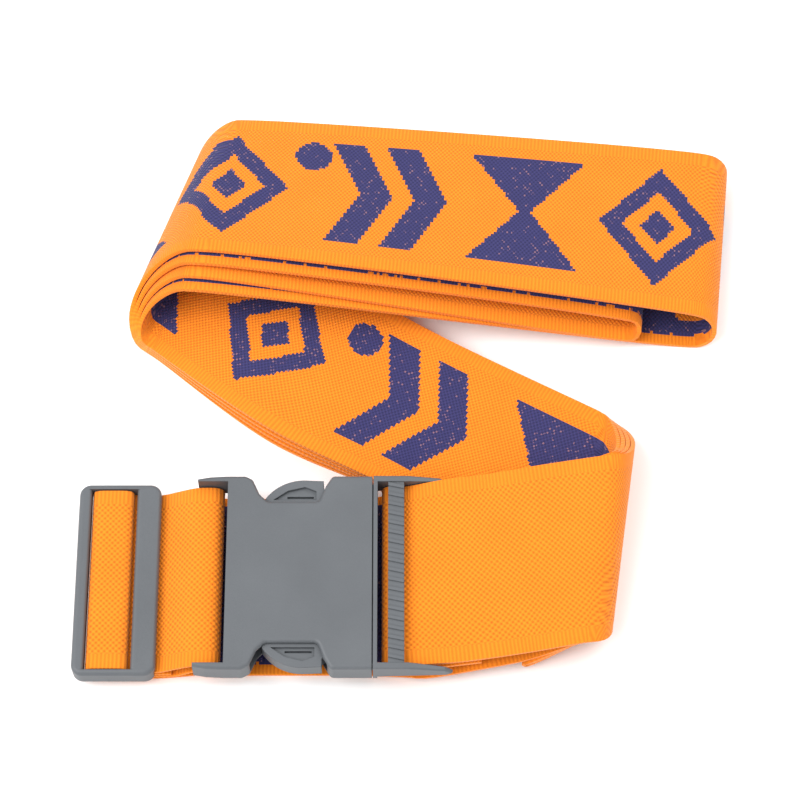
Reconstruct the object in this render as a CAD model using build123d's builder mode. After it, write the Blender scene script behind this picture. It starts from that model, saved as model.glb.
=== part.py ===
"""Luggage strap, 50 mm wide: buckled into a loop and folded flat as a four-layer hank.

Millimetres, +Z up, the hank lies on Z = 0 with the middle of its outline over the origin.
The front run leaves the buckle along +X and folds under at the right crease; the middle run
goes back along the table to the left crease; the top run comes over it to the right end.
"""
from build123d import *
import os
from collections import namedtuple
from math import cos, pi, sin

os.makedirs("parts", exist_ok=True)

# ---- webbing -------------------------------------------------------------------------
WEBBING_WIDTH = 50.0
WEBBING = 1.15           # thickness of one layer
LAYER_GAP = 0.25         # between two layers that lie together
LAYERS = 4               # the loop is folded in half, then its two plies in half again
BEND_STEPS = 6           # facets round a fold of the webbing
PITCH = WEBBING + LAYER_GAP
FLOOR = WEBBING / 2      # middle of a layer that lies on the table

# ---- hank ----------------------------------------------------------------------------
# Each crease is given by the outermost layer: where its lower leg and its upper leg leave the
# bend, at the near edge and at the far edge, and how far the bend swells out from there.
# Wider webbing keeps its near edge there, and its far edge moves out with the width.
CREASE_WIDTH = 50.0      # the webbing that these corner points are for
RIGHT_LOWER = ((45.5, -59.9, FLOOR), (51.0, -3.9, FLOOR))
RIGHT_UPPER = ((45.0, -72.9, 13.0), (52.5, -23.4, 20.5))
RIGHT_SWELL = (6.2, 7.0)
RIGHT_FAN = 0.9          # each lower layer sits this much further along the crease
LEFT_LOWER = ((-71.5, 15.1, FLOOR), (-56.0, 62.6, FLOOR))
LEFT_UPPER = ((-56.5, 35.6, 24.0), (-45.5, 81.6, 15.0))
LEFT_SWELL = (12.0, 9.5)
LEFT_FAN = -3.0
END_LOWER = ((76.5, 18.1, FLOOR), (82.5, 68.6, FLOOR))
END_UPPER = ((77.0, 21.6, 12.9), (82.0, 71.9, 12.9))
END_SWELL = (6.1, 6.1)
INNER_END_SETBACK = 17.0           # layers 3 and 2 turn back this much sooner
LOWER_END_X = 29.5                 # layers 2 and 1 turn back under the front run
TAIL_END_X = 18.5                  # free end of the webbing, under layer 4
MIDDLE_GAPE = 1.5                  # the middle run's layers part by this much at the near edge
# Two places along the middle run: how far along, whether the near edge gapes there, and how
# far the near and far edges curve sideways.
MIDDLE_SHAPE = ((0.42, 0.0, 0.6, -3.5), (0.70, 1.0, -4.0, -3.0))
INNER_TURN = 2.6         # layers 3 and 2 turn back this many pitches inside layers 4 and 1
# The front run: X, height of its near and far edge, sideways shift and skew in degrees.
TAIL_RUN = ((TAIL_END_X, 8.2, 11.6, 1.6, 2.0), (7.5, 7.6, 10.4, 0.6, 0.0))
FEED_RUN = ((9.5, 10.3, 14.0, 0.8, 0.0), (TAIL_END_X, 10.8, 15.2, 1.6, 2.0), (32.5, 11.7, 17.3, 3.4, 3.0))
LOWER_RUN = ((2.5, 2.0, 7.4, -1.0, 0.0), (TAIL_END_X, 4.8, 9.6, 1.0, 2.0),
             (LOWER_END_X + 2.0, 6.0, 13.0, 3.2, 3.0))
LOWER_RUN_LIFT = (1.0, 4.9)   # height of the lower ply's edges under the serrated bar
LOWER_SHIFT = -2.0            # the lower ply lies this much nearer than the buckle's middle
LOWER_END = ((0.0, 2.5, 2.7), (2.6, 52.5, 9.8))  # its near and far corner, from the near selvedge

# ---- buckle --------------------------------------------------------------------------
BUCKLE_Y = -53.4         # the strap's centreline through the buckle
SEAM_X = -10.8           # where the female half meets the male half
BUCKLE_WALL = 1.7        # each cheek, outside the webbing's clearance
BUCKLE_BOTTOM = 5.7
BUCKLE_THICKNESS = 8.2
SHELL = 1.3              # walls of the female half, above and below its hollow
WEBBING_CLEARANCE = 0.3  # each side of the webbing between the cheeks
RUNNING_GAP = 0.3        # between pieces that move on each other

FEMALE_LENGTH = 38.2
WING_LENGTH = 8.0
FEMALE_SLOT = 2.5
FEMALE_BAR_WIDTH = 5.5
FEMALE_BAR_THICKNESS = 3.0
FEMALE_BAR_HEIGHT = 7.6
SIDE_WALL = 1.6
BACK_WALL = 4.0          # behind the hollow
CORNER = 1.5             # rounding of the moulding's upright corners
EDGE = 1.0               # and of its upper and lower edges
# A side window, as points this far back from the seam and this far in from the side.
WINDOW = ((10.6, 0.0), (12.4, 3.0), (14.0, 7.3), (27.6, 7.3), (29.8, 5.2), (31.7, 1.0), (33.6, 0.0))
WING_TAPER = 0.8         # the wings narrow by this much to their tips

MALE_LIP = 1.1
PLUG_LENGTH = 5.5
SLOT_ONE = 2.8           # open gap in front of the serrated bar
SERRATED_BAR_WIDTH = 4.2
SERRATED_BAR_BOTTOM = 11.6
GRIP_RIBS = 19
LOWER_BAR_WIDTH = 3.9
LOWER_BAR_THICKNESS = 1.8
LOWER_BAR_HEIGHT = 8.6
CHEEK_BOTTOM = 7.2
FAR_FIN_REACH = 11.5     # side fins, from the serrated bar's outer edge
NEAR_FIN_REACH = 12.5
FIN_TIP = 1.0            # the fins flare outwards to this thickness
PRONG_LENGTH = 28.0
PRONG_WIDTH = 12.0
FIN_NOSE = (1.5, 3.0, 5.0)     # the rounded end of a fin: two steps up, then the start of its slope
FIN_NOSE_BACK = 2.0
CHEEK_EDGE = 0.5
BAR_CHAMFER = (1.0, 0.8)       # along and up, at the serrated bar's lower corners
RIB_WIDTH = 1.0
RIB_SLANT = 0.2
RIB_HEIGHT = 0.4
ARM_THICKNESS = 3.0
ARM_PIVOT_IN = 6.2       # from the buckle's side
# The outer edge of an arm and its pad, measured as a window is, then its pocket and groove.
ARM_EDGE = ((11.0, 4.7), (12.9, 3.2), (12.9, 1.0), (17.5, 0.8))
PAD_CURVE = ((17.5, 0.8), (24.0, 2.3), (28.4, 6.3))
ARM_HEEL = ((28.2, 7.6), (26.0, 8.4), (12.0, 7.7))
POCKET = ((14.8, 6.4), (14.8, 3.9), (17.8, 2.7), (22.4, 3.8), (26.2, 6.4))
POCKET_DEPTH = 1.0
GROOVE = (15.5, 22.5)    # from the seam, along the foot of the pocket
GROOVE_WIDTH = 0.5

# ---- tri-glide -----------------------------------------------------------------------
GLIDE_SPACING = 15.5     # from the female half's bar to the tri-glide
GLIDE_RAIL = 1.5
GLIDE_RIGHT_BAR = 6.4
GLIDE_SLOT = 3.8
GLIDE_CENTRE_BAR = 4.6
GLIDE_LEFT_BAR = 3.2
CENTRE_BAR_BOTTOM = 3.3
CENTRE_BAR_THICKNESS = 2.3
RAIL_BOTTOM = 3.2
RAIL_TOP = 8.6
RIGHT_BAR_BOTTOM = 6.0
LEFT_BAR_BOTTOM = 4.4
SEWN_OVERLAP = 4.0       # the sewn end shows this much past the tri-glide
STITCH_ROWS = 3
STITCH_PITCH = 1.3
STITCH_FIRST = 0.9       # from the cut end to the first row
STITCH_WIDTH = 0.5
STITCH_MARGIN = 2.0      # the rows stop short of each selvedge
THREAD = 0.2             # how far the thread stands up
WRAP_CORNER = 1.2
GLIDE_CORNER = 3.0
GLIDE_EDGE = 1.2         # rounding of its outer upper edge
GLIDE_INNER_EDGE = 1.0

# ---- worked out from the sizes above ---------------------------------------------------
BUCKLE_TOP = BUCKLE_BOTTOM + BUCKLE_THICKNESS
CHEEK_INNER = WEBBING_WIDTH / 2 + WEBBING_CLEARANCE
HALF = CHEEK_INNER + BUCKLE_WALL
BUCKLE_WIDTH = 2 * HALF
MALE_LEFT = SEAM_X + RUNNING_GAP
BAR_LEFT = MALE_LEFT + MALE_LIP + SLOT_ONE
BAR_RIGHT = BAR_LEFT + SERRATED_BAR_WIDTH
FEMALE_LEFT = SEAM_X - FEMALE_LENGTH
FEMALE_BAR_RIGHT = FEMALE_LEFT - FEMALE_SLOT
GLIDE_RIGHT = FEMALE_BAR_RIGHT - GLIDE_SPACING
LOOP_RADIUS = FEMALE_BAR_THICKNESS / 2 + LAYER_GAP + FLOOR
SPLIT_X = SEAM_X - 2.0   # the lower ply is parted here, under the seam
PLUG_BOTTOM = BUCKLE_BOTTOM + SHELL + RUNNING_GAP
PLUG_HEIGHT = BUCKLE_THICKNESS - 2 * (SHELL + RUNNING_GAP)

Section = namedtuple("Section", "near far travel")
Crease = namedtuple("Crease", "lower upper swell fan")

RIGHT = Crease(RIGHT_LOWER, RIGHT_UPPER, RIGHT_SWELL, RIGHT_FAN)
LEFT = Crease(LEFT_LOWER, LEFT_UPPER, LEFT_SWELL, LEFT_FAN)
END = Crease(END_LOWER, END_UPPER, END_SWELL, 0.0)


def edge_points(line):
    """The near and far ends of a crease line, drawn out to the webbing's width."""
    near, far = Vector(*line[0]), Vector(*line[1])
    return [near, near + (far - near) * (WEBBING_WIDTH / CREASE_WIDTH)]


def fold(crease, inset, side):
    """Sections of webbing round a crease from its upper leg down, inset from the outermost."""
    lower = [point + Vector(0, 0, inset) for point in edge_points(crease.lower)]
    along = (lower[1] - lower[0]).normalized()
    fan = along * (crease.fan * inset / PITCH)
    upper = [point - Vector(0, 0, inset) + fan for point in edge_points(crease.upper)]
    outward = along.rotate(Axis.Z, -90 * side)
    sections = []
    for step in range(BEND_STEPS + 1):
        turn = pi / 2 - pi * step / BEND_STEPS
        points, travel = [], Vector(0, 0, 0)
        for foot, head, swell in zip(lower, upper, crease.swell):
            half = (head - foot) * 0.5
            reach = outward * (swell - inset)
            points.append(foot + half + half * sin(turn) + reach * cos(turn))
            travel += reach * sin(turn) - half * cos(turn)
        sections.append(Section(points[0], points[1], travel))
    return sections


def flat(x, near_z, far_z, toward, shift=0.0, skew=0.0):
    """A straight section across the front run."""
    half = Vector(0, WEBBING_WIDTH / 2, 0).rotate(Axis.Z, -skew)
    middle = Vector(x, BUCKLE_Y + shift, 0)
    near = middle - half + Vector(0, 0, near_z)
    far = middle + half + Vector(0, 0, far_z)
    return Section(near, far, Vector(toward, 0, 0))


def front_run(places, toward):
    """Sections of the front run from its table of places."""
    return [flat(x, near_z, far_z, toward, shift, skew) for x, near_z, far_z, shift, skew in places]


def between(start, end, share, lift_near, bow_near, bow_far):
    """A section part of the way along a run, its near edge lifted, each edge bowed sideways."""
    run = end.near + end.far - start.near - start.far
    side = Vector(0, 0, 1).cross(run).normalized()
    side = side if side.Y > 0 else side * -1
    near = start.near + (end.near - start.near) * share + side * bow_near
    far = start.far + (end.far - start.far) * share + side * bow_far
    return Section(near + Vector(0, 0, lift_near), far, run)


def across(section):
    """The plane of a section: X runs from its near edge to its far edge."""
    width = section.far - section.near
    travel = section.travel - width * (section.travel.dot(width) / width.dot(width))
    return Plane((section.near + section.far) * 0.5, x_dir=width, z_dir=travel)


def reverse(sections):
    """The same length of webbing, followed the other way."""
    return [Section(s.near, s.far, s.travel * -1) for s in reversed(sections)]


# ---- the webbing, from its free tail round the hank to the ply under the buckle --------
LOWER_WRAP = LOWER_BAR_THICKNESS / 2 + LAYER_GAP + FLOOR
TAIL_Z = LOWER_BAR_HEIGHT - LOWER_WRAP
FEED_Z = LOWER_BAR_HEIGHT + LOWER_WRAP
LOWER_BAR_LEFT = BAR_LEFT - RUNNING_GAP
WRAP_X = LOWER_BAR_LEFT + LOWER_BAR_THICKNESS / 2


def middle_run(start, end, layer):
    """The middle run lies on the table; its upper layers gape along the near edge."""
    gape = (LAYERS - layer) * MIDDLE_GAPE
    return [
        between(start, end, share, lift * gape, bow_near, bow_far)
        for share, lift, bow_near, bow_far in MIDDLE_SHAPE
    ]


def hank_layer(layer, front, outbound):
    """One layer from the front run to the right end of the top run, or back."""
    inset = (LAYERS - layer) * PITCH
    right = fold(RIGHT, inset, 1)
    left = reverse(fold(LEFT, inset, -1))
    path = front + right + middle_run(right[-1], left[0], layer) + left
    return path if outbound else reverse(path)


def across_buckle(x, z):
    """The two ends of a level crease line across the buckle."""
    near_y = BUCKLE_Y - WEBBING_WIDTH / 2
    return ((x, near_y, z), (x, near_y + CREASE_WIDTH, z))


lower_wrap = Crease(
    across_buckle(WRAP_X, TAIL_Z), across_buckle(WRAP_X, FEED_Z), (LOWER_WRAP, LOWER_WRAP), 0.0
)
front_4 = front_run(TAIL_RUN, -1) + [flat(BAR_RIGHT, TAIL_Z, TAIL_Z, -1)]
front_4 += reverse(fold(lower_wrap, 0.0, -1))
front_4 += [flat(BAR_RIGHT, FEED_Z, FEED_Z, 1)] + front_run(FEED_RUN, 1)
front_3 = [
    flat(SPLIT_X + RUNNING_GAP, FLOOR, FLOOR, 1, LOWER_SHIFT),
    flat(BAR_RIGHT, *LOWER_RUN_LIFT, 1, LOWER_SHIFT),
] + front_run(LOWER_RUN, 1)
lower_corners = [
    Vector(LOWER_END_X + x, BUCKLE_Y - WEBBING_WIDTH / 2 + y, z) for x, y, z in LOWER_END
]
lower_end = Crease(
    [tuple(corner) for corner in lower_corners],
    [tuple(corner + Vector(0, 0, PITCH)) for corner in lower_corners],
    (PITCH / 2, PITCH / 2), 0.0,
)
lower_turn = reverse(fold(lower_end, 0.0, -1))
outer_turn = fold(END, 0.0, 1)
setback = Vector(-INNER_END_SETBACK, 0, 0)
inner_turn = [
    Section(s.near + setback, s.far + setback, s.travel) for s in fold(END, PITCH * INNER_TURN, 1)
]
strap_path = (
    hank_layer(4, front_4, True) + outer_turn
    + hank_layer(1, [], False) + lower_turn
    + hank_layer(2, [], True) + reverse(inner_turn)
    + hank_layer(3, front_3, False)
)

with BuildPart() as strap_webbing:
    for section in strap_path:
        with BuildSketch(across(section)):
            Rectangle((section.far - section.near).length, WEBBING)
    loft(ruled=True)
strap_webbing.part.label = "strap_webbing"
export_step(strap_webbing.part, "parts/strap_webbing.step")


def side_plane(y):
    """A plane across the strap: local X is +X and local Y is +Z, its normal towards -Y."""
    return Plane((0, y, 0), x_dir=(1, 0, 0), z_dir=(0, -1, 0))


FAR_WEB_PLANE = side_plane(BUCKLE_Y + WEBBING_WIDTH / 2)

# ---- the lower ply, from the seam back to the tri-glide --------------------------------
lower_ply_path = [
    flat(GLIDE_RIGHT + RUNNING_GAP, FLOOR, FLOOR, 1),
    flat(SPLIT_X, FLOOR, FLOOR, 1, LOWER_SHIFT),
]
with BuildPart() as strap_lower_ply:
    for section in lower_ply_path:
        with BuildSketch(across(section)):
            Rectangle((section.far - section.near).length, WEBBING)
    loft(ruled=True)
strap_lower_ply.part.label = "strap_lower_ply"
export_step(strap_lower_ply.part, "parts/strap_lower_ply.step")

# ---- the loop round the bar of the female half -----------------------------------------
BOTTOM_PLY_Z = FLOOR + PITCH
END_PLY_Z = FLOOR + 2 * PITCH
TOP_PLY_Z = FLOOR + 3 * PITCH
LOOP_CENTRE_X = FEMALE_BAR_RIGHT - FEMALE_BAR_THICKNESS / 2
LOOP_RISE_X = FEMALE_BAR_RIGHT - FEMALE_BAR_WIDTH
with BuildPart() as strap_loop:
    with BuildSketch(FAR_WEB_PLANE):
        with BuildLine():
            Polyline(
                (GLIDE_RIGHT + RUNNING_GAP, TOP_PLY_Z),
                (LOOP_RISE_X, FEMALE_BAR_HEIGHT + LOOP_RADIUS),
                (LOOP_CENTRE_X, FEMALE_BAR_HEIGHT + LOOP_RADIUS),
            )
            ThreePointArc(
                (LOOP_CENTRE_X, FEMALE_BAR_HEIGHT + LOOP_RADIUS),
                (LOOP_CENTRE_X + LOOP_RADIUS, FEMALE_BAR_HEIGHT),
                (LOOP_CENTRE_X, FEMALE_BAR_HEIGHT - LOOP_RADIUS),
            )
            Polyline(
                (LOOP_CENTRE_X, FEMALE_BAR_HEIGHT - LOOP_RADIUS),
                (LOOP_RISE_X, FEMALE_BAR_HEIGHT - LOOP_RADIUS),
                (GLIDE_RIGHT + SEWN_OVERLAP + WEBBING, BOTTOM_PLY_Z),
                (GLIDE_RIGHT + RUNNING_GAP, BOTTOM_PLY_Z),
            )
        trace(line_width=WEBBING)
    extrude(amount=WEBBING_WIDTH)
strap_loop.part.label = "strap_loop"
export_step(strap_loop.part, "parts/strap_loop.step")

# ---- the two wraps round the centre bar of the tri-glide -------------------------------
RIGHT_SLOT_RIGHT = GLIDE_RIGHT - GLIDE_RIGHT_BAR
CENTRE_RIGHT = RIGHT_SLOT_RIGHT - GLIDE_SLOT
CENTRE_LEFT = CENTRE_RIGHT - GLIDE_CENTRE_BAR
LEFT_SLOT_LEFT = CENTRE_LEFT - GLIDE_SLOT
GLIDE_LEFT = LEFT_SLOT_LEFT - GLIDE_LEFT_BAR
CENTRE_TOP = CENTRE_BAR_BOTTOM + CENTRE_BAR_THICKNESS

with BuildPart() as strap_adjuster_wrap:
    with BuildSketch(FAR_WEB_PLANE):
        with BuildLine():
            FilletPolyline(
                (GLIDE_RIGHT, FLOOR),
                (CENTRE_LEFT - LAYER_GAP - FLOOR - PITCH, FLOOR),
                (CENTRE_LEFT - LAYER_GAP - FLOOR - PITCH, CENTRE_TOP + LAYER_GAP + FLOOR + PITCH),
                (CENTRE_RIGHT + LAYER_GAP + FLOOR + PITCH, CENTRE_TOP + LAYER_GAP + FLOOR + PITCH),
                (CENTRE_RIGHT + LAYER_GAP + FLOOR + PITCH, TOP_PLY_Z),
                (GLIDE_RIGHT, TOP_PLY_Z),
                radius=WRAP_CORNER,
            )
        trace(line_width=WEBBING)
    extrude(amount=WEBBING_WIDTH)
strap_adjuster_wrap.part.label = "strap_adjuster_wrap"
export_step(strap_adjuster_wrap.part, "parts/strap_adjuster_wrap.step")

with BuildPart() as strap_sewn_end:
    with BuildSketch(FAR_WEB_PLANE):
        with BuildLine():
            FilletPolyline(
                (GLIDE_RIGHT, BOTTOM_PLY_Z),
                (CENTRE_LEFT - LAYER_GAP - FLOOR, BOTTOM_PLY_Z),
                (CENTRE_LEFT - LAYER_GAP - FLOOR, CENTRE_TOP + LAYER_GAP + FLOOR),
                (CENTRE_RIGHT + LAYER_GAP + FLOOR, CENTRE_TOP + LAYER_GAP + FLOOR),
                (CENTRE_RIGHT + LAYER_GAP + FLOOR, END_PLY_Z),
                (GLIDE_RIGHT + SEWN_OVERLAP, END_PLY_Z),
                radius=WRAP_CORNER,
            )
        trace(line_width=WEBBING)
    extrude(amount=WEBBING_WIDTH)
strap_sewn_end.part.label = "strap_sewn_end"
export_step(strap_sewn_end.part, "parts/strap_sewn_end.step")

# ---- the rows of stitches that hold the sewn end, seen as ribs on its upper face --------
SEWN_END_X = GLIDE_RIGHT + SEWN_OVERLAP
with BuildPart() as end_stitching:
    with Locations(
        *[
            (SEWN_END_X - STITCH_FIRST - row * STITCH_PITCH, BUCKLE_Y, END_PLY_Z + FLOOR)
            for row in range(STITCH_ROWS)
        ]
    ):
        Box(
            STITCH_WIDTH, WEBBING_WIDTH - 2 * STITCH_MARGIN, THREAD,
            align=(Align.CENTER, Align.CENTER, Align.MIN),
        )
end_stitching.part.label = "end_stitching"
export_step(end_stitching.part, "parts/end_stitching.step")

# ---- tri-glide: one moulded frame of two rails and three bars ---------------------------
GLIDE_MIDDLE = (GLIDE_LEFT + GLIDE_RIGHT) / 2
GLIDE_WIDTH = 2 * (CHEEK_INNER + GLIDE_RAIL)
with BuildPart() as triglide:
    with BuildSketch(Plane.XY.offset(RAIL_BOTTOM)):
        with Locations((GLIDE_MIDDLE, BUCKLE_Y)):
            RectangleRounded(GLIDE_RIGHT - GLIDE_LEFT, GLIDE_WIDTH, GLIDE_CORNER)
    extrude(amount=RAIL_TOP - RAIL_BOTTOM)
    fillet(triglide.faces().sort_by(Axis.Z)[-1].edges(), radius=GLIDE_EDGE)
    with BuildSketch(Plane.XY.offset(RAIL_BOTTOM)):
        for left, right in ((LEFT_SLOT_LEFT, CENTRE_LEFT), (CENTRE_RIGHT, RIGHT_SLOT_RIGHT)):
            with Locations(((left + right) / 2, BUCKLE_Y)):
                Rectangle(right - left, 2 * CHEEK_INNER)
    extrude(amount=RAIL_TOP - RAIL_BOTTOM, mode=Mode.SUBTRACT)
    for left, right, bottom, top in (
        (GLIDE_LEFT, LEFT_SLOT_LEFT, RAIL_BOTTOM, LEFT_BAR_BOTTOM),
        (CENTRE_LEFT, CENTRE_RIGHT, RAIL_BOTTOM, CENTRE_BAR_BOTTOM),
        (CENTRE_LEFT, CENTRE_RIGHT, CENTRE_TOP, RAIL_TOP),
        (RIGHT_SLOT_RIGHT, GLIDE_RIGHT, RAIL_BOTTOM, RIGHT_BAR_BOTTOM),
    ):
        with Locations(((left + right) / 2, BUCKLE_Y, (bottom + top) / 2)):
            Box(right - left, 2 * CHEEK_INNER, top - bottom, mode=Mode.SUBTRACT)
    upper = triglide.edges().filter_by(Axis.Y).group_by(Axis.Z)[-1]
    fillet(upper, radius=GLIDE_INNER_EDGE)
triglide.part.label = "triglide"
export_step(triglide.part, "parts/triglide.step")

# ---- female half: a flat shell with a webbing bar between two wings ---------------------
WING_LEFT = FEMALE_LEFT - WING_LENGTH
CAVITY_LEFT = FEMALE_LEFT + BACK_WALL
CAVITY_HALF = HALF - SIDE_WALL


def from_seam(points, side):
    """Points on the table's plane from distances back from the seam and in from one side."""
    return [(SEAM_X - back, BUCKLE_Y + side * (HALF - inward)) for back, inward in points]


wing = (
    (FEMALE_LENGTH + 0.05 * WING_LENGTH, 0.0),
    (FEMALE_LENGTH + 0.60 * WING_LENGTH, 0.3 * WING_TAPER),
    (FEMALE_LENGTH + WING_LENGTH, WING_TAPER),
    (FEMALE_LENGTH + WING_LENGTH, HALF - CHEEK_INNER),
    (FEMALE_LENGTH, HALF - CHEEK_INNER),
)
half_outline = ((0.0, 0.0),) + WINDOW + wing
WINDOW_RIGHT = SEAM_X - WINDOW[0][0] + RUNNING_GAP
WINDOW_LEFT = SEAM_X - WINDOW[-1][0] - RUNNING_GAP
with BuildPart() as female_half:
    with BuildSketch(Plane.XY.offset(BUCKLE_BOTTOM)) as outline:
        with BuildLine():
            Polyline(*from_seam(half_outline, 1), *reversed(from_seam(half_outline, -1)), close=True)
        make_face()
        window_corners = [v for v in outline.vertices() if WINDOW_LEFT < v.X < WINDOW_RIGHT]
        fillet(window_corners, radius=CORNER)
    extrude(amount=BUCKLE_THICKNESS)
    for level in (-1, 0):
        rim = female_half.faces().sort_by(Axis.Z)[level].edges()
        inner = rim.filter_by(lambda e: abs(e.center().Y - BUCKLE_Y) < CHEEK_INNER + 0.1 and (
            e.center().X < FEMALE_LEFT + 0.1 or e.center().X > SEAM_X - 0.1))
        fillet([edge for edge in rim if edge not in inner and edge.center().X > WING_LEFT + 0.1], radius=EDGE)
    with BuildSketch(side_plane(BUCKLE_Y - CHEEK_INNER)):
        with Locations((FEMALE_BAR_RIGHT - FEMALE_BAR_WIDTH / 2, FEMALE_BAR_HEIGHT)):
            RectangleRounded(FEMALE_BAR_WIDTH, FEMALE_BAR_THICKNESS, 0.47 * FEMALE_BAR_THICKNESS)
    extrude(amount=-2 * CHEEK_INNER)
    # the hollow that takes the prongs of the male half, open at the seam
    with BuildSketch(Plane.XY.offset(BUCKLE_BOTTOM + SHELL)):
        with Locations(((CAVITY_LEFT + SEAM_X) / 2, BUCKLE_Y)):
            Rectangle(SEAM_X - CAVITY_LEFT, 2 * CAVITY_HALF)
    extrude(amount=BUCKLE_THICKNESS - 2 * SHELL, mode=Mode.SUBTRACT)
female_half.part.label = "female_half"
export_step(female_half.part, "parts/female_half.step")

# ---- male half: ladder-lock frame, plug and centre prong --------------------------------
PLUG_WIDTH = 2 * (CAVITY_HALF - RUNNING_GAP)
PIVOT_X = SEAM_X - PLUG_LENGTH + ARM_THICKNESS / 2
FLARE_X = BAR_RIGHT + 1.0   # the fins start here
RIB_FOOT = BUCKLE_TOP - RIB_HEIGHT
with BuildPart() as male_half:
    # the lip that closes the seam
    with BuildSketch(Plane.YZ.offset(MALE_LEFT)):
        with Locations((BUCKLE_Y, (BUCKLE_BOTTOM + BUCKLE_TOP) / 2)):
            RectangleRounded(BUCKLE_WIDTH, BUCKLE_THICKNESS, EDGE)
    extrude(amount=MALE_LIP)
    # plug and centre prong, inside the female half
    with BuildSketch(Plane.XY.offset(PLUG_BOTTOM)):
        with Locations(((SEAM_X - PLUG_LENGTH + MALE_LEFT) / 2, BUCKLE_Y)):
            Rectangle(PLUG_LENGTH + RUNNING_GAP, PLUG_WIDTH)
        with BuildLine():
            Polyline(
                (SEAM_X - PLUG_LENGTH, BUCKLE_Y - PRONG_WIDTH / 2),
                (SEAM_X - PLUG_LENGTH, BUCKLE_Y + PRONG_WIDTH / 2),
                (SEAM_X - PRONG_LENGTH, BUCKLE_Y + PRONG_WIDTH / 3),
                (SEAM_X - PRONG_LENGTH, BUCKLE_Y - PRONG_WIDTH / 3),
                close=True,
            )
        make_face()
        with Locations(*[(PIVOT_X, BUCKLE_Y + side * (HALF - ARM_PIVOT_IN)) for side in (-1, 1)]):
            Circle(ARM_THICKNESS / 2 + RUNNING_GAP, mode=Mode.SUBTRACT)
        with Locations(
            *[
                (SEAM_X - PLUG_LENGTH, BUCKLE_Y + side * (HALF - ARM_PIVOT_IN))
                for side in (-1, 1)
            ]
        ):
            Rectangle(ARM_THICKNESS, ARM_THICKNESS + 4 * RUNNING_GAP, mode=Mode.SUBTRACT)
    extrude(amount=PLUG_HEIGHT)
    # cheeks on each side of the webbing, drawn out into tapering fins
    for side, reach in ((1, FAR_FIN_REACH), (-1, NEAR_FIN_REACH)):
        with BuildSketch(side_plane(BUCKLE_Y + side * CHEEK_INNER)):
            with BuildLine():
                Polyline(
                    (MALE_LEFT, CHEEK_BOTTOM),
                    (BAR_RIGHT + reach - FIN_NOSE[0], CHEEK_BOTTOM + FIN_NOSE[0]),
                    (BAR_RIGHT + reach, CHEEK_BOTTOM + FIN_NOSE[1]),
                    (BAR_RIGHT + reach - FIN_NOSE_BACK, CHEEK_BOTTOM + FIN_NOSE[2]),
                    (FLARE_X, BUCKLE_TOP),
                    (MALE_LEFT, BUCKLE_TOP),
                    close=True,
                )
            make_face()
        extrude(amount=-side * (HALF - CHEEK_INNER))
        with BuildSketch(Plane.XY.offset(CHEEK_BOTTOM)):
            with BuildLine():
                Polyline(
                    (FLARE_X, BUCKLE_Y + side * (CHEEK_INNER - FIN_TIP)),
                    (FLARE_X, BUCKLE_Y + side * CHEEK_INNER),
                    (BAR_RIGHT + reach, BUCKLE_Y + side * (HALF - FIN_TIP)),
                    (BAR_RIGHT + reach, BUCKLE_Y + side * (CHEEK_INNER - FIN_TIP)),
                    close=True,
                )
            make_face()
        extrude(amount=BUCKLE_TOP - CHEEK_BOTTOM, mode=Mode.SUBTRACT)
    # serrated bar over the webbing
    with BuildSketch(side_plane(BUCKLE_Y - CHEEK_INNER)):
        with BuildLine():
            Polyline(
                (BAR_LEFT, SERRATED_BAR_BOTTOM + BAR_CHAMFER[1]),
                (BAR_LEFT + BAR_CHAMFER[0], SERRATED_BAR_BOTTOM),
                (BAR_RIGHT - BAR_CHAMFER[0], SERRATED_BAR_BOTTOM),
                (BAR_RIGHT, SERRATED_BAR_BOTTOM + BAR_CHAMFER[1]),
                (BAR_RIGHT, RIB_FOOT),
                (BAR_LEFT, RIB_FOOT),
                close=True,
            )
        make_face()
    extrude(amount=-2 * CHEEK_INNER)
    # lower bar that the webbing turns round
    with BuildSketch(side_plane(BUCKLE_Y - CHEEK_INNER)):
        with Locations((LOWER_BAR_LEFT + LOWER_BAR_WIDTH / 2, LOWER_BAR_HEIGHT)):
            RectangleRounded(LOWER_BAR_WIDTH, LOWER_BAR_THICKNESS, 0.47 * LOWER_BAR_THICKNESS)
    extrude(amount=-2 * CHEEK_INNER)
    # slanted grip ribs across the serrated bar
    with BuildSketch(Plane.XY.offset(RIB_FOOT)):
        for rib in range(GRIP_RIBS):
            rib_y = BUCKLE_Y + (rib - (GRIP_RIBS - 1) / 2) * 2 * CHEEK_INNER / GRIP_RIBS
            with BuildLine():
                Polyline(
                    (BAR_LEFT, rib_y + RIB_SLANT),
                    (BAR_LEFT, rib_y + RIB_SLANT + RIB_WIDTH),
                    (BAR_RIGHT, rib_y - RIB_SLANT + RIB_WIDTH / 2),
                    (BAR_RIGHT, rib_y - RIB_SLANT - RIB_WIDTH / 2),
                    close=True,
                )
            make_face()
    extrude(amount=RIB_HEIGHT)
    outer_edges = male_half.edges().filter_by(
        lambda e: abs(abs(e.center().Y - BUCKLE_Y) - HALF) < RUNNING_GAP / 2
        and e.center().X > MALE_LEFT + MALE_LIP and e.center().Z > CHEEK_BOTTOM - RUNNING_GAP
    )
    fillet(outer_edges, radius=CHEEK_EDGE)
male_half.part.label = "male_half"
export_step(male_half.part, "parts/male_half.step")

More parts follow.
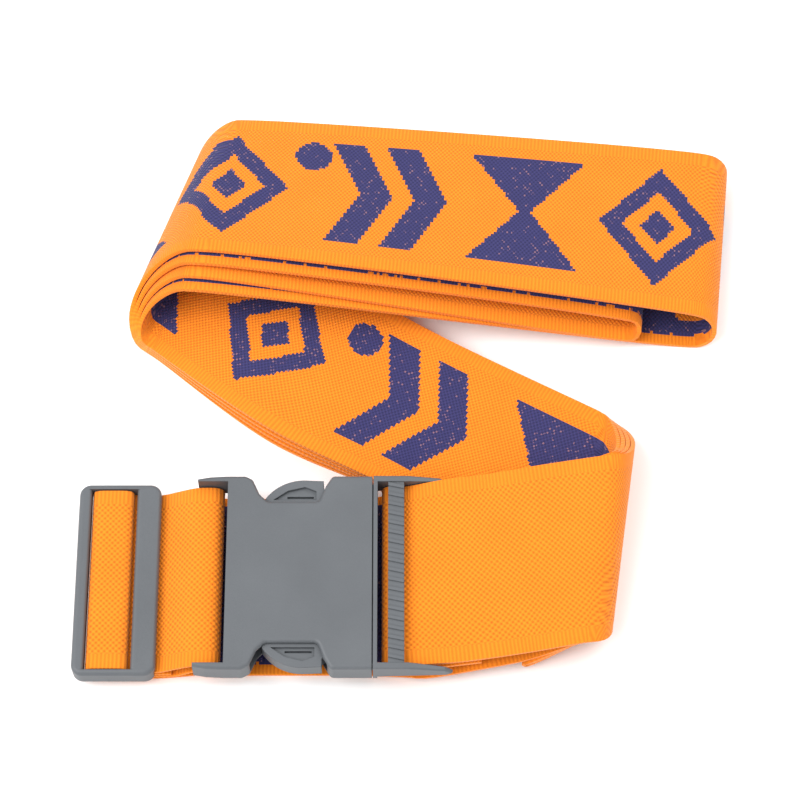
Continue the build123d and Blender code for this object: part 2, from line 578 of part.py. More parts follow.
# ---- the two sprung release arms, each with its pad in a window -------------------------
PIVOT_BACK = SEAM_X - PIVOT_X
for side, label in ((1, "release_arm_far"), (-1, "release_arm_near")):
    with BuildPart() as release_arm:
        with BuildSketch(Plane.XY.offset(PLUG_BOTTOM)):
            with Locations(*from_seam([(PIVOT_BACK, ARM_PIVOT_IN)], side)):
                Circle(ARM_THICKNESS / 2)
            with BuildLine():
                Polyline(*from_seam([(PIVOT_BACK, ARM_PIVOT_IN - ARM_THICKNESS / 2), *ARM_EDGE], side))
                ThreePointArc(*from_seam(PAD_CURVE, side))
                Polyline(*from_seam([
                    PAD_CURVE[-1], *ARM_HEEL,
                    (PIVOT_BACK, ARM_PIVOT_IN + ARM_THICKNESS / 2),
                    (PIVOT_BACK, ARM_PIVOT_IN - ARM_THICKNESS / 2),
                ], side))
            make_face()
        extrude(amount=PLUG_HEIGHT)
        with BuildSketch(Plane.XY.offset(PLUG_BOTTOM + PLUG_HEIGHT)):
            with BuildLine():
                Polyline(*from_seam(POCKET, side), close=True)
            make_face()
        extrude(amount=-POCKET_DEPTH, mode=Mode.SUBTRACT)
        with BuildSketch(Plane.XY.offset(PLUG_BOTTOM + PLUG_HEIGHT - POCKET_DEPTH)):
            groove_middle = ((GROOVE[0] + GROOVE[1]) / 2, POCKET[0][1] - 2 * GROOVE_WIDTH)
            with Locations(*from_seam([groove_middle], side)):
                Rectangle(GROOVE[1] - GROOVE[0], GROOVE_WIDTH)
        extrude(amount=-POCKET_DEPTH, mode=Mode.SUBTRACT)
    release_arm.part.label = label
    export_step(release_arm.part, f"parts/{label}.step")
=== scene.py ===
from math import cos, pi, radians, sin, sqrt

import bmesh
import bpy
from mathutils import Matrix, Vector


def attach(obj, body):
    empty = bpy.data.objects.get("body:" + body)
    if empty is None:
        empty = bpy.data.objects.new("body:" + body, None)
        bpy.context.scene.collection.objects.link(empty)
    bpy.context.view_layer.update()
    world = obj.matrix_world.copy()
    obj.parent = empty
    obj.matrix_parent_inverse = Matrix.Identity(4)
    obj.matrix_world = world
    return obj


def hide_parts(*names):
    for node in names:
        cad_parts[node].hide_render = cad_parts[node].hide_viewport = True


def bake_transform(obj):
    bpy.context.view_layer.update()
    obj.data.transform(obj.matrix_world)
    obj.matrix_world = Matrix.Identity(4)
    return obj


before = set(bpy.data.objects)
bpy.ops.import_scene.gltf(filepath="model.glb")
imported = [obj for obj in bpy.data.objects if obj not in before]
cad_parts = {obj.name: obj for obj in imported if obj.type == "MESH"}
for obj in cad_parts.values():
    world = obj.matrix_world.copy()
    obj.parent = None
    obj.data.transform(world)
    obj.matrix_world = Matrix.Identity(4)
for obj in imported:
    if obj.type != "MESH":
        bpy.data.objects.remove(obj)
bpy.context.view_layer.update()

MM = 0.001

# ---- table, camera and light -------------------------------------------------------------
# The strap lies on a plain pale table top and is seen from above and in front, through a
# long lens. Two large soft boxes and a bright room light it almost without shadows.
AIM = Vector((-3.5, 2.1, 0)) * MM
CAMERA_HEIGHT = 65.0      # degrees above the table
CAMERA_DISTANCE = 740 * MM
LENS, SENSOR = 121.5, 36.0
TABLE_HEX, ROOM_HEX = "#FBFBFB", "#FFFFFF"
TABLE_HALF = 3.0          # m
NEAREST, FURTHEST = 0.05, 20.0
ROOM_LIGHT = 0.85


def linear(hex_colour):
    """The linear colour of an sRGB hex value."""
    parts = [int(hex_colour[i:i + 2], 16) / 255 for i in (1, 3, 5)]
    return [c / 12.92 if c <= 0.04045 else ((c + 0.055) / 1.055) ** 2.4 for c in parts] + [1.0]


def add(tree, kind, *, settings=None, **inputs):
    """Adds a node to a material, with its settings, its values and its links."""
    node = tree.nodes.new(kind)
    for name, value in (settings or {}).items():
        setattr(node, name, value)
    for name, value in inputs.items():
        key = int(name[1:]) if name[0] == "i" and name[1:].isdigit() else name.replace("_", " ")
        if isinstance(value, bpy.types.NodeSocket):
            tree.links.new(value, node.inputs[key])
        else:
            node.inputs[key].default_value = value
    return node


def new_material(name):
    """A node material with only its output, ready for a shader."""
    material = bpy.data.materials.new(name)
    material.use_nodes = True
    material.node_tree.nodes.clear()
    return material, material.node_tree


def place(piece, bm):
    """Turns a finished bmesh into a piece of that name."""
    mesh = bpy.data.meshes.new(piece)
    bm.to_mesh(mesh)
    bm.free()
    made = bpy.data.objects.new(piece, mesh)
    bpy.context.scene.collection.objects.link(made)
    return made


table_top, tree = new_material("matt_white_laminate")
grain = add(tree, "ShaderNodeTexNoise", Scale=900.0, Detail=2.0,
            Vector=add(tree, "ShaderNodeTexCoord").outputs["Object"])
dimple = add(tree, "ShaderNodeBump", Strength=0.04, Distance=0.0002, Height=grain.outputs["Fac"])
laminate = add(tree, "ShaderNodeBsdfPrincipled", Base_Color=linear(TABLE_HEX), Roughness=0.6,
               IOR=1.5, Normal=dimple.outputs["Normal"])
add(tree, "ShaderNodeOutputMaterial", Surface=laminate.outputs["BSDF"])

bm = bmesh.new()
bmesh.ops.create_grid(bm, x_segments=1, y_segments=1, size=TABLE_HALF)
table = place("table_top", bm)
table.data.materials.append(table_top)

back = Vector((0, -cos(radians(CAMERA_HEIGHT)), sin(radians(CAMERA_HEIGHT))))
camera = bpy.data.objects.new("camera", bpy.data.cameras.new("camera"))
camera.data.lens, camera.data.sensor_width = LENS, SENSOR
camera.data.clip_start, camera.data.clip_end = NEAREST, FURTHEST
camera.location = AIM + back * CAMERA_DISTANCE
camera.rotation_mode = "QUATERNION"
camera.rotation_quaternion = (-back).to_track_quat("-Z", "Y")
bpy.context.scene.collection.objects.link(camera)
bpy.context.scene.camera = camera

for name, spot, size, watts in (
    ("soft_box_left", (-0.9, -0.3, 1.2), 1.2, 22.0),
    ("soft_box_right", (0.9, 0.5, 1.3), 1.4, 12.0),
):
    lamp = bpy.data.lights.new(name, "AREA")
    lamp.size, lamp.energy = size, watts
    holder = bpy.data.objects.new(name, lamp)
    holder.location = spot
    holder.rotation_mode = "QUATERNION"
    holder.rotation_quaternion = (-Vector(spot)).to_track_quat("-Z", "Y")
    bpy.context.scene.collection.objects.link(holder)

room = bpy.data.worlds.new("bright_room")
room.use_nodes = True
room.node_tree.nodes["Background"].inputs["Color"].default_value = linear(ROOM_HEX)
room.node_tree.nodes["Background"].inputs["Strength"].default_value = ROOM_LIGHT
bpy.context.scene.world = room
bpy.context.scene.view_settings.view_transform = "Standard"

# ---- webbing: the hank -------------------------------------------------------------------
# 50 mm polyester webbing, jacquard woven in orange and navy: navy figures on an orange
# ground outside, the reverse inside. It is one length, folded in half twice by hand.
WIDTH, THICK, GAP = 50.0, 1.15, 0.25
PITCH, FLOOR = THICK + GAP, THICK / 2
BUCKLE_Y = -53.4
RIGHT = dict(lower=((45.5, -59.9, FLOOR), (51.0, -3.9, FLOOR)),
             upper=((45.0, -72.9, 13.0), (52.5, -23.4, 20.5)), swell=(6.2, 7.0), fan=0.9)
LEFT = dict(lower=((-71.5, 15.1, FLOOR), (-56.0, 62.6, FLOOR)),
            upper=((-56.5, 35.6, 24.0), (-45.5, 81.6, 15.0)), swell=(12.0, 9.5), fan=-3.5)
END = dict(lower=((76.5, 18.1, FLOOR), (82.5, 68.6, FLOOR)),
           upper=((77.0, 21.6, 12.9), (82.0, 71.9, 12.9)), swell=(6.1, 6.1), fan=0.0)
INNER_SETBACK, LOWER_END_X, TAIL_X = 17.0, 29.5, 18.5
BAR_RIGHT, SEAM_SPLIT_X = -2.4, -12.8
UNDER_SHIFT = 0.8         # the ply under the buckle lies this much further than its middle
BEND_STEPS, ROW_LENGTH, COLUMNS = 6, 2.0, 14
SELVEDGE_ROUND = 0.3


def section(near, far, plain=False):
    """One line across the webbing, from its near edge to its far edge."""
    return Vector(near), Vector(far), plain


def fold(crease, inset, side, setback=0.0):
    """Lines round a crease from its upper leg down, that far inside the outermost layer."""
    lower = [Vector(p) + Vector((0, 0, inset)) for p in crease["lower"]]
    along = (lower[1] - lower[0]).normalized()
    slip = along * (crease["fan"] * inset / PITCH)
    upper = [Vector(p) - Vector((0, 0, inset)) + slip for p in crease["upper"]]
    outward = Matrix.Rotation(-radians(90) * side, 3, "Z") @ along
    lines = []
    for step in range(BEND_STEPS + 1):
        turn = pi / 2 - pi * step / BEND_STEPS
        ends = []
        for foot, head, swell in zip(lower, upper, crease["swell"]):
            half = (head - foot) * 0.5
            ends.append(foot + half + half * sin(turn) + outward * (swell - inset) * cos(turn))
        lines.append(section(ends[0] - Vector((setback, 0, 0)), ends[1] - Vector((setback, 0, 0))))
    return lines


def straight(x, near_z, far_z, shift=0.0, skew=0.0):
    """A line across the plain front run, under or through the buckle."""
    half = Vector((sin(radians(skew)), cos(radians(skew)), 0)) * WIDTH / 2
    middle = Vector((x, BUCKLE_Y + shift, 0))
    return section(middle - half + Vector((0, 0, near_z)), middle + half + Vector((0, 0, far_z)), True)


def partway(start, end, share, lift, bow_near, bow_far):
    """A line part of the way along a run, its near edge lifted, each edge bowed sideways."""
    run = end[0] + end[1] - start[0] - start[1]
    side = Vector((0, 0, 1)).cross(run).normalized()
    side = side if side.y > 0 else -side
    near = start[0].lerp(end[0], share) + side * bow_near + Vector((0, 0, lift))
    return section(near, start[1].lerp(end[1], share) + side * bow_far)


def hank_layer(layer, front=()):
    """One layer, from the front run round to the right end of the top run."""
    inset = (4 - layer) * PITCH
    right, left = fold(RIGHT, inset, 1), fold(LEFT, inset, -1)[::-1]
    middle = [partway(right[-1], left[0], 0.42, 0.0, 0.6, -3.5),
              partway(right[-1], left[0], 0.70, (4 - layer) * 1.5, -4.0, -3.0)]
    if front:
        right = [section(near, far, True) for near, far, plain in right]
    return list(front) + right + middle + left


def smooth_rows(route):
    """Rows close together on the smooth sheet that passes through every line of a route."""
    knots = [0.0]
    for a, b in zip(route, route[1:]):
        knots.append(knots[-1] + sqrt(((b[0] - a[0]).length + (b[1] - a[1]).length) / 2 + 1e-6))

    def on_curve(side, i, t):
        """Where one edge is, between line i and the next one."""
        first, last = max(i - 1, 0), min(i + 2, len(route) - 1)
        p = [route[first][side], route[i][side], route[i + 1][side], route[last][side]]
        k = [knots[first], knots[i], knots[i + 1], knots[last]]
        if first == i:
            p[0], k[0] = p[1] * 2 - p[2], 2 * k[1] - k[2]
        if last == i + 1:
            p[3], k[3] = p[2] * 2 - p[1], 2 * k[2] - k[1]
        level = [p[j].lerp(p[j + 1], (t - k[j]) / (k[j + 1] - k[j])) for j in range(3)]
        level = [level[j].lerp(level[j + 1], (t - k[j]) / (k[j + 2] - k[j])) for j in range(2)]
        return level[0].lerp(level[1], (t - k[1]) / (k[2] - k[1]))

    rows = []
    for i in range(len(route) - 1):
        length = max((route[i + 1][e] - route[i][e]).length for e in (0, 1))
        steps = max(1, round(length / ROW_LENGTH))
        for step in range(steps):
            t = knots[i] + (knots[i + 1] - knots[i]) * step / steps
            rows.append((on_curve(0, i, t), on_curve(1, i, t), route[i][2] and route[i + 1][2]))
    rows.append(route[-1])
    return rows


def webbing(piece, route, figure_starts=((0.0, 0.0),)):
    """Webbing laid along a route, with its weave in one UV map and its figures in another.
    figure_starts says how far the figures are shifted, from each length along it onwards."""
    rows = smooth_rows(route)
    middles = [(near + far) / 2 for near, far, plain in rows]
    lengths = [0.0]
    for a, b in zip(middles, middles[1:]):
        lengths.append(lengths[-1] + (b - a).length)
    bm = bmesh.new()
    bmesh.ops.create_grid(bm, x_segments=COLUMNS, y_segments=len(rows) - 1, size=1.0)
    weave = bm.loops.layers.uv.new("weave")
    figure = bm.loops.layers.uv.new("figure")
    for face in bm.faces:
        face.smooth = True
        row_of_face = int((face.calc_center_median().y + 1) / 2 * (len(rows) - 1))
        here = lengths[row_of_face]
        shift = [moved for start, moved in figure_starts if here >= start][-1]
        for loop in face.loops:
            row = round((loop.vert.co.y + 1) / 2 * (len(rows) - 1))
            share = 0.5 - loop.vert.co.x / 2
            near, far, plain = rows[row]
            travel = (middles[min(row + 1, len(rows) - 1)] - middles[max(row - 1, 0)]).normalized()
            along = lengths[row] + (share - 0.5) * (far - near).dot(travel)
            loop[weave].uv = (share * WIDTH / 100, along / 100)
            loop[figure].uv = ((along - shift) / 100, 0.0 if rows[row_of_face][2] else 1.0)
    for vert in bm.verts:
        row = round((vert.co.y + 1) / 2 * (len(rows) - 1))
        near, far, plain = rows[row]
        vert.co = near.lerp(far, 0.5 - vert.co.x / 2) * MM
    made = place(piece, bm)
    for material in (jacquard_outside, jacquard_inside, selvedge_edge):
        made.data.materials.append(material)
    wall = made.modifiers.new("thickness", "SOLIDIFY")
    wall.thickness, wall.offset = THICK * MM, 0.0
    wall.material_offset, wall.material_offset_rim = 1, 2
    edge = made.modifiers.new("rounded_edges", "BEVEL")
    edge.width, edge.segments = SELVEDGE_ROUND * MM, 2
    edge.limit_method, edge.angle_limit = "ANGLE", radians(60)
    return made


# Woven spun polyester is matt and a little fuzzy. The ground is warm orange, and painted shade darkens the
# pits between yarns, on the orange and on the navy alike; the navy figures let specks of the orange warp
# through. Yarns cross about every 0.7 mm, so the edges of the figures step by 0.8 mm.
# The darker orange and the darker navy are painted shade, not dyed colours: the orange is used in the pits
# between yarns, along the selvedge ribs and in the twist of the thread; the navy is used in the pits between
# yarns.
ORANGE, ORANGE_PAINTED_SHADE = "#F48B1E", "#BC5407"
NAVY, NAVY_PAINTED_SHADE, FLECK = "#3A3868", "#1E1D42", "#C99080"
FIGURE_REPEAT = 119.0     # mm of webbing from one set of figures to the next
CELL = 0.8                # mm, the step of the jacquard
FIELD_HALF = 20.6         # mm, from the middle of the webbing to its plain selvedges
NAVY_HALF = 22.6          # and to the edge of the navy ground inside
# Each figure's middle, in mm along a set, and its sizes in mm; heights are from the middle out.
FIGURE_HALF = 17.5
LOZENGE, LOZENGE_LENGTH, LOZENGE_HEIGHT = 18.0, 16.5, 18.5
LOZENGE_HOLE = (0.30, 0.60)
DISC, DISC_ACROSS, DISC_RADIUS = 40.5, 12.5, 5.0
CHEVRON, CHEVRON_SLOPE, CHEVRON_SET = 63.0, 0.5, -4.4
CHEVRON_BANDS = ((-13.0, -4.0), (2.0, 11.0))
TRIANGLE, TRIANGLE_SLOPE, TRIANGLE_WAIST = 100.0, 0.80, 1.6
# The weave's pitch across and along, in mm: in the figured runs, in the plain runs, in the ribs.
FLOAT_PITCH, BASKET_PITCH, RIB_PITCH = (1.35, 1.15), (1.55, 1.50), 1.0
RIB_DEPTH = 0.45          # of the yarn floats' depth


def m(tree, operation, a, b=0.0, c=0.0):
    """One sum in a material."""
    return add(tree, "ShaderNodeMath", settings={"operation": operation}, i0=a, i1=b, i2=c).outputs[0]


def mixed(tree, share, first, second):
    """Two colours mixed by a share."""
    mix = add(tree, "ShaderNodeMix", settings={"data_type": "RGBA"}, i0=share, i6=first, i7=second)
    return mix.outputs[2]


def jacquard(name, outside):
    """One face of the webbing: figures in one colour on a ground of the other."""
    material, tree = new_material(name)
    weave = add(tree, "ShaderNodeUVMap", settings={"uv_map": "weave"})
    figure = add(tree, "ShaderNodeUVMap", settings={"uv_map": "figure"})
    uv = add(tree, "ShaderNodeSeparateXYZ", Vector=weave.outputs["UV"])
    fig = add(tree, "ShaderNodeSeparateXYZ", Vector=figure.outputs["UV"])
    across = m(tree, "MULTIPLY", uv.outputs["X"], 100.0)
    along = m(tree, "MULTIPLY", uv.outputs["Y"], 100.0)
    figured = m(tree, "GREATER_THAN", fig.outputs["Y"], 0.5)
    # figures are drawn on whole cells of the loom, in millimetres from the middle of the webbing
    x = m(tree, "MULTIPLY", m(tree, "ROUND", m(tree, "MULTIPLY", fig.outputs["X"], 100.0 / CELL)), CELL)
    from_edge = m(tree, "MULTIPLY", m(tree, "ROUND", m(tree, "DIVIDE", across, CELL)), CELL)
    y = m(tree, "SUBTRACT", from_edge, WIDTH / 2)
    sets = m(tree, "FLOOR", m(tree, "DIVIDE", x, FIGURE_REPEAT))
    spot = m(tree, "SUBTRACT", x, m(tree, "MULTIPLY", sets, FIGURE_REPEAT))
    rise = m(tree, "ABSOLUTE", y)
    cell_noise = add(tree, "ShaderNodeTexWhiteNoise", settings={"noise_dimensions": "2D"}, Vector=add(
        tree, "ShaderNodeCombineXYZ", X=x, Y=y).outputs[0]).outputs["Value"]

    def offset(centre):
        return m(tree, "ABSOLUTE", m(tree, "SUBTRACT", spot, centre))

    # a lozenge with a lozenge hole and a small heart of its own
    d = m(tree, "ADD", m(tree, "MULTIPLY", offset(LOZENGE), 1 / LOZENGE_LENGTH), m(
        tree, "MULTIPLY", rise, 1 / LOZENGE_HEIGHT))
    hole = m(tree, "MULTIPLY", m(tree, "LESS_THAN", d, LOZENGE_HOLE[1]), m(
        tree, "GREATER_THAN", d, LOZENGE_HOLE[0]))
    lozenge = m(tree, "SUBTRACT", m(tree, "LESS_THAN", d, 1.0), hole)
    # a disc, set towards the far edge
    ox, oy = offset(DISC), m(tree, "SUBTRACT", y, DISC_ACROSS)
    disc = m(tree, "LESS_THAN", m(
        tree, "ADD", m(tree, "MULTIPLY", ox, ox), m(tree, "MULTIPLY", oy, oy)), DISC_RADIUS ** 2)
    # two broad chevrons, one behind the other
    cx = m(tree, "SUBTRACT", spot, CHEVRON)
    slope = m(tree, "ADD", cx, m(tree, "MULTIPLY_ADD", rise, CHEVRON_SLOPE, CHEVRON_SET))
    front, behind = [m(tree, "MULTIPLY", m(tree, "GREATER_THAN", slope, start), m(
        tree, "LESS_THAN", slope, stop)) for start, stop in CHEVRON_BANDS]
    tall = m(tree, "LESS_THAN", rise, FIGURE_HALF)
    chevrons = m(tree, "MULTIPLY", m(tree, "MAXIMUM", front, behind), tall)
    # two solid triangles, point to point
    flank = m(tree, "MULTIPLY_ADD", rise, TRIANGLE_SLOPE, TRIANGLE_WAIST)
    triangles = m(tree, "MULTIPLY", m(tree, "LESS_THAN", offset(TRIANGLE), flank), tall)
    mask = m(tree, "MAXIMUM", m(tree, "MAXIMUM", lozenge, disc), m(tree, "MAXIMUM", chevrons, triangles))
    mask = m(tree, "MULTIPLY", mask, figured)
    in_band = m(tree, "LESS_THAN", m(tree, "ADD", rise, cell_noise), NAVY_HALF)
    if not outside:
        mask = m(tree, "MULTIPLY", m(tree, "SUBTRACT", 1.0, mask), in_band)

    # the weave: raised yarn floats staggered like bricks, and plain ribs in the two selvedges
    def wave(value, pitch):
        return m(tree, "COSINE", m(tree, "MULTIPLY", value, 2 * pi / pitch))

    floats = m(tree, "MULTIPLY", wave(across, FLOAT_PITCH[0]), wave(along, FLOAT_PITCH[1]))
    basket = m(tree, "MULTIPLY", wave(across, BASKET_PITCH[0]), wave(along, BASKET_PITCH[1]))
    field = m(tree, "ADD", m(tree, "MULTIPLY", floats, figured), m(
        tree, "MULTIPLY", basket, m(tree, "SUBTRACT", 1.0, figured)))
    off_middle = m(tree, "ABSOLUTE", m(tree, "SUBTRACT", across, WIDTH / 2))
    in_field = m(tree, "LESS_THAN", off_middle, FIELD_HALF + 0.4)
    height = add(tree, "ShaderNodeMix", settings={"data_type": "FLOAT"}, i0=in_field,
                 i2=m(tree, "MULTIPLY", wave(along, RIB_PITCH), RIB_DEPTH), i3=field).outputs[0]
    height = m(tree, "MULTIPLY_ADD", height, 0.5, 0.5)
    # painted shade: the deeper a spot lies between the yarn floats, the more of the darker shade colour it
    # gets
    painted_pit_shade = m(tree, "POWER", m(tree, "SUBTRACT", 1.0, height), 1.6)
    patch = add(tree, "ShaderNodeTexNoise", Scale=9.0, Detail=3.0, Vector=weave.outputs["UV"]).outputs["Fac"]
    slub = add(tree, "ShaderNodeTexNoise", Scale=160.0, Detail=2.0, Vector=weave.outputs["UV"]).outputs["Fac"]
    # painted shade of the pits, mixed into the orange ground here and into the navy figures below
    ground = mixed(tree, m(tree, "MULTIPLY", painted_pit_shade, 0.80), linear(ORANGE), linear(ORANGE_PAINTED_SHADE))
    flecked = m(tree, "MULTIPLY", m(tree, "GREATER_THAN", cell_noise, 0.90), m(
        tree, "GREATER_THAN", height, 0.62))
    dark = mixed(tree, m(tree, "MULTIPLY", painted_pit_shade, 0.8), linear(NAVY), linear(NAVY_PAINTED_SHADE))
    dark = mixed(tree, m(tree, "MULTIPLY", flecked, 0.35), dark, linear(FLECK))
    value = m(tree, "ADD", m(tree, "MULTIPLY_ADD", patch, 0.16, 0.84), m(tree, "MULTIPLY", slub, 0.16))
    # random mottling of tone, laid on a colour that already holds the painted shade of the pits
    mottled_and_pit_shaded = add(tree, "ShaderNodeHueSaturation", Value=value, Color=mixed(tree, mask, ground, dark))
    bump = add(tree, "ShaderNodeBump", Strength=0.7, Distance=0.0003, Height=m(
        tree, "ADD", height, m(tree, "MULTIPLY", slub, 0.5)))
    cloth = add(tree, "ShaderNodeBsdfPrincipled", Base_Color=mottled_and_pit_shaded.outputs["Color"], Roughness=0.85,
                IOR=1.45, Sheen_Weight=0.12, Sheen_Roughness=0.5, Normal=bump.outputs["Normal"])
    cloth.inputs["Specular IOR Level"].default_value = 0.25
    add(tree, "ShaderNodeOutputMaterial", Surface=cloth.outputs["BSDF"])
    return material


jacquard_outside = jacquard("polyester_jacquard_outside", True)
jacquard_inside = jacquard("polyester_jacquard_inside", False)

# The woven edge shows the orange weft turning back, one small rib to the millimetre.
selvedge_edge, tree = new_material("polyester_selvedge")
uv = add(tree, "ShaderNodeSeparateXYZ", Vector=add(
    tree, "ShaderNodeUVMap", settings={"uv_map": "weave"}).outputs["UV"])
rib = m(tree, "MULTIPLY_ADD", m(tree, "SINE", m(tree, "MULTIPLY", uv.outputs["Y"], 100 * 2 * pi)), 0.5, 0.5)
# painted shade: the edge's orange darkens and lightens with each rib
shade = add(tree, "ShaderNodeMix", settings={"data_type": "RGBA"}, i0=m(tree, "MULTIPLY", rib, 0.3),
            i6=linear(ORANGE), i7=linear(ORANGE_PAINTED_SHADE))
bump = add(tree, "ShaderNodeBump", Strength=0.5, Distance=0.0002, Height=rib)
edge_yarn = add(tree, "ShaderNodeBsdfPrincipled", Base_Color=shade.outputs[2], Roughness=0.85, IOR=1.45,
                Sheen_Weight=0.18, Sheen_Roughness=0.5, Normal=bump.outputs["Normal"])
edge_yarn.inputs["Specular IOR Level"].default_value = 0.25
add(tree, "ShaderNodeOutputMaterial", Surface=edge_yarn.outputs["BSDF"])

TAIL_Z, FEED_Z, WRAP = 6.875, 10.325, 1.725
# Where the figures fall on the top run, and on the middle run, which follows the fold at the end.
END_LENGTH = 432.0        # mm of webbing, from its tail into that fold
FIGURE_SHIFTS = ((0.0, 32.0), (END_LENGTH, 17.0))
BAR_TURN_X = -6.0
bar_wrap = dict(lower=((BAR_TURN_X, BUCKLE_Y - 25, TAIL_Z), (BAR_TURN_X, BUCKLE_Y + 25, TAIL_Z)),
                upper=((BAR_TURN_X, BUCKLE_Y - 25, FEED_Z), (BAR_TURN_X, BUCKLE_Y + 25, FEED_Z)),
                swell=(WRAP, WRAP), fan=0.0)
# The front run: X, height of the near and far edge, sideways shift and skew in degrees.
front_outer = [straight(TAIL_X, 8.2, 11.6, 1.6, 2), straight(7.5, 7.6, 10.4, 0.6),
               straight(BAR_RIGHT, TAIL_Z, TAIL_Z)]
front_outer += [section(near, far, True) for near, far, plain in fold(bar_wrap, 0.0, -1)[::-1]]
front_outer += [straight(BAR_RIGHT, FEED_Z, FEED_Z), straight(9.5, 10.3, 14.0, 0.8),
                straight(TAIL_X, 10.8, 15.2, 1.6, 2), straight(32.5, 11.7, 17.3, 3.4, 3)]
front_inner = [straight(SEAM_SPLIT_X + 0.3, FLOOR, FLOOR, UNDER_SHIFT), straight(BAR_RIGHT, 1.0, 4.9, 0.2),
               straight(2.5, 2.0, 7.4, -0.5), straight(TAIL_X, 4.8, 9.6, 1, 2),
               straight(LOWER_END_X + 2, 6.0, 13.0, 3.2, 3)]
lower_end = dict(lower=((LOWER_END_X, BUCKLE_Y - 22.5, 2.7), (LOWER_END_X + 2.6, BUCKLE_Y + 27.5, 9.8)),
                 upper=((LOWER_END_X, BUCKLE_Y - 22.5, 2.7 + PITCH),
                        (LOWER_END_X + 2.6, BUCKLE_Y + 27.5, 9.8 + PITCH)),
                 swell=(PITCH / 2, PITCH / 2), fan=0.0)
route = (hank_layer(4, front_outer) + fold(END, 0.0, 1) + hank_layer(1)[::-1]
         + fold(lower_end, 0.0, -1)[::-1] + hank_layer(2)
         + fold(END, PITCH * 2.6, 1, INNER_SETBACK)[::-1] + hank_layer(3, front_inner)[::-1])
hank = webbing("webbing_hank", route, FIGURE_SHIFTS)
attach(hank, "hank")
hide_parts("strap_webbing")

# ---- webbing: the ply under the buckle ------------------------------------------------------
# The same length of webbing goes on under the buckle to the tri-glide. It lies loose on the
# table, attached to no body.
UNDER_END_X = -57.0
under = webbing("webbing_under_buckle", [
    straight(SEAM_SPLIT_X, FLOOR, FLOOR, UNDER_SHIFT), straight(-34.0, FLOOR, FLOOR, UNDER_SHIFT),
    straight(UNDER_END_X, FLOOR, FLOOR, UNDER_SHIFT)])
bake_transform(under)
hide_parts("strap_lower_ply")

# ---- webbing: round the tri-glide and the bar of the female half ---------------------------
# It turns up round the tri-glide's centre bar, runs back to the female half, round its bar,
# and returns underneath, where its cut end is wrapped round the centre bar again and sewn.
GLIDE_RIGHT, SLOT_X = -67.0, -73.4
CENTRE_LEFT, CENTRE_RIGHT, CENTRE_TOP = -81.8, -77.2, 5.6
BOTTOM_Z, END_Z, TOP_Z = FLOOR + PITCH, FLOOR + 2 * PITCH, FLOOR + 3 * PITCH
LOOP_X, LOOP_Z, LOOP_R = -53.0, 7.6, 2.325


def side_lines(points, shift=0.0):
    """Lines across the webbing at points of its side view, X and Z."""
    return [straight(x, z, z, shift) for x, z in points]


def wrap_lines(out, start_z, end_z, end_x, slack=0.0):
    """Lines round the centre bar, that far out from it: from below, over it and down again."""
    left, right, top = CENTRE_LEFT - out - slack, CENTRE_RIGHT + out, CENTRE_TOP + out
    return side_lines([
        (left + 1.6, start_z), (left + 0.4, start_z + 0.45), (left, start_z + 1.6), (left, top - 1.6),
        (left + 0.4, top - 0.4), (left + 1.5, top + 0.05), ((left + right) / 2, top + 0.12),
        (right - 1.5, top + 0.05), (right - 0.35, top - 0.35), (right, top - 1.2),
        (right + 0.25, end_z + 0.35), (right + 1.3, end_z), (end_x, end_z),
    ])


loop_bend = [(LOOP_X + LOOP_R * sin(radians(turn)), LOOP_Z + LOOP_R * cos(radians(turn)))
             for turn in range(0, 181, 30)]
adjuster_route = [straight(UNDER_END_X, FLOOR, FLOOR, UNDER_SHIFT), straight(GLIDE_RIGHT, FLOOR, FLOOR)]
adjuster_route += wrap_lines(GAP + FLOOR + PITCH, FLOOR, TOP_Z, GLIDE_RIGHT, 0.7)
adjuster_route += side_lines([(-62.0, 7.4), (-57.4, 9.7)] + loop_bend + [(-57.4, 5.2), (-62.0, 2.15)])
adjuster_route += side_lines([(GLIDE_RIGHT, BOTTOM_Z), (SLOT_X, BOTTOM_Z)])
adjuster = webbing("webbing_adjuster_loop", adjuster_route)
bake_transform(adjuster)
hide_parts("strap_loop", "strap_adjuster_wrap")

sewn_end = webbing("webbing_sewn_end", [straight(SLOT_X, BOTTOM_Z, BOTTOM_Z)] + wrap_lines(
    GAP + FLOOR, BOTTOM_Z, END_Z, GLIDE_RIGHT + 4.0))
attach(sewn_end, "adjuster")
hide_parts("strap_sewn_end")

# ---- stitching of the sewn end -------------------------------------------------------------
# Three rows of orange bonded polyester thread hold the cut end. Each stitch is a short round
# float of 0.5 mm thread pulled down at both ends.
THREAD_HEX, STITCH, STITCHES, ROWS = "#F08A2A", 2.3, 20, 3
SEWN_END_X, FIRST_ROW, ROW_PITCH, RAISED = GLIDE_RIGHT + 4.0, 0.9, 1.3, 0.02
STITCH_HALF = (0.25, 0.95, 0.18)
bm = bmesh.new()
for row in range(ROWS):
    for number in range(STITCHES):
        y = BUCKLE_Y + (number - (STITCHES - 1) / 2) * STITCH
        spot = Vector((SEWN_END_X - FIRST_ROW - row * ROW_PITCH, y, END_Z + FLOOR + RAISED)) * MM
        stitch = bmesh.ops.create_uvsphere(bm, u_segments=8, v_segments=6, radius=1.0)
        bmesh.ops.scale(bm, verts=stitch["verts"], vec=Vector(STITCH_HALF) * MM)
        bmesh.ops.translate(bm, verts=stitch["verts"], vec=spot)
for face in bm.faces:
    face.smooth = True
stitches = place("end_stitching_thread", bm)
thread, tree = new_material("bonded_polyester_thread")
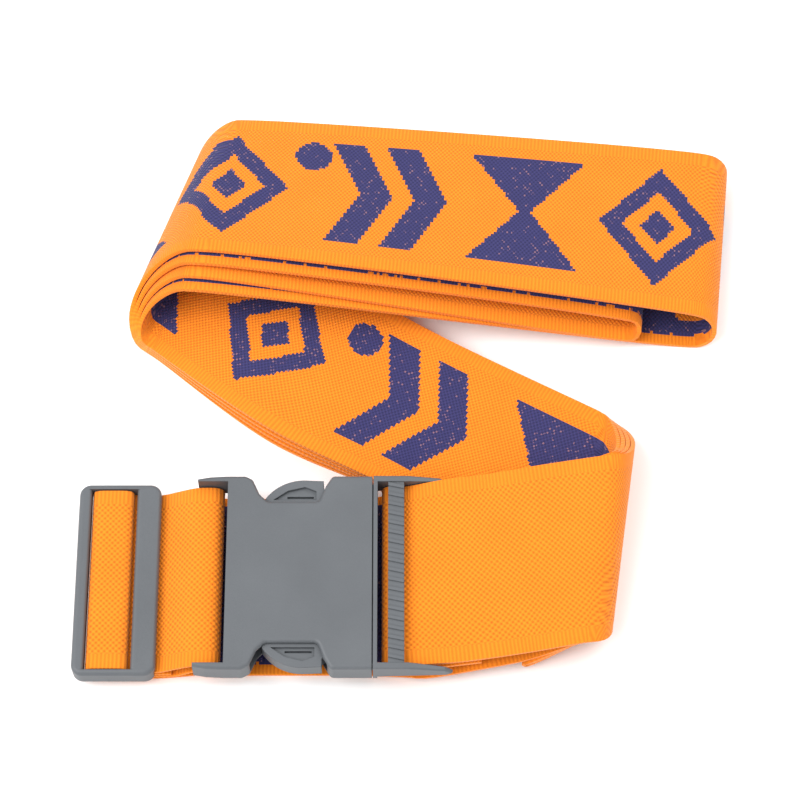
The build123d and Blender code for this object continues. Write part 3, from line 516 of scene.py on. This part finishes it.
spun = add(tree, "ShaderNodeTexWave", Scale=900.0, Distortion=2.0, Vector=add(
    tree, "ShaderNodeTexCoord").outputs["Object"])
twist = add(tree, "ShaderNodeBump", Strength=0.4, Distance=0.0001, Height=spun.outputs["Fac"])
# painted shade: the thread darkens along the grooves of its spun twist
shaded = mixed(tree, spun.outputs["Fac"], linear(THREAD_HEX), linear(ORANGE_PAINTED_SHADE))
fibre = add(tree, "ShaderNodeBsdfPrincipled", Base_Color=shaded, Roughness=0.6, IOR=1.5,
            Normal=twist.outputs["Normal"])
add(tree, "ShaderNodeOutputMaterial", Surface=fibre.outputs["BSDF"])
stitches.data.materials.append(thread)
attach(stitches, "adjuster")
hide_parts("end_stitching")

# ---- buckle and tri-glide ------------------------------------------------------------------
# The female half, the male half with its two sprung arms, and the tri-glide are charcoal
# acetal, moulded with a fine spark-eroded grain: matt, with a soft grey gloss on the edges.
ACETAL, ACETAL_WORN = "#4C4F53", "#65696D"
EDGE_ROUND = 0.35
acetal, tree = new_material("moulded_acetal_charcoal")
where = add(tree, "ShaderNodeTexCoord").outputs["Object"]
grit = add(tree, "ShaderNodeTexNoise", Scale=2600.0, Detail=2.0, Roughness=0.6, Vector=where).outputs["Fac"]
cloud = add(tree, "ShaderNodeTexNoise", Scale=55.0, Detail=3.0, Vector=where).outputs["Fac"]
soft = add(tree, "ShaderNodeBevel", settings={"samples": 4}, Radius=EDGE_ROUND * MM)
grained = add(tree, "ShaderNodeBump", Strength=0.22, Distance=0.0001, Height=grit, Normal=soft.outputs[0])
tone = mixed(tree, m(tree, "MULTIPLY_ADD", cloud, 0.5, m(tree, "MULTIPLY", grit, 0.35)),
             linear(ACETAL), linear(ACETAL_WORN))
shell = add(tree, "ShaderNodeBsdfPrincipled", Base_Color=tone, IOR=1.48, Roughness=m(
    tree, "MULTIPLY_ADD", grit, 0.22, 0.36), Normal=grained.outputs["Normal"])
add(tree, "ShaderNodeOutputMaterial", Surface=shell.outputs["BSDF"])
for name in ("female_half", "male_half", "release_arm_far", "release_arm_near", "triglide"):
    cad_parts[name].data.materials.clear()
    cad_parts[name].data.materials.append(acetal)
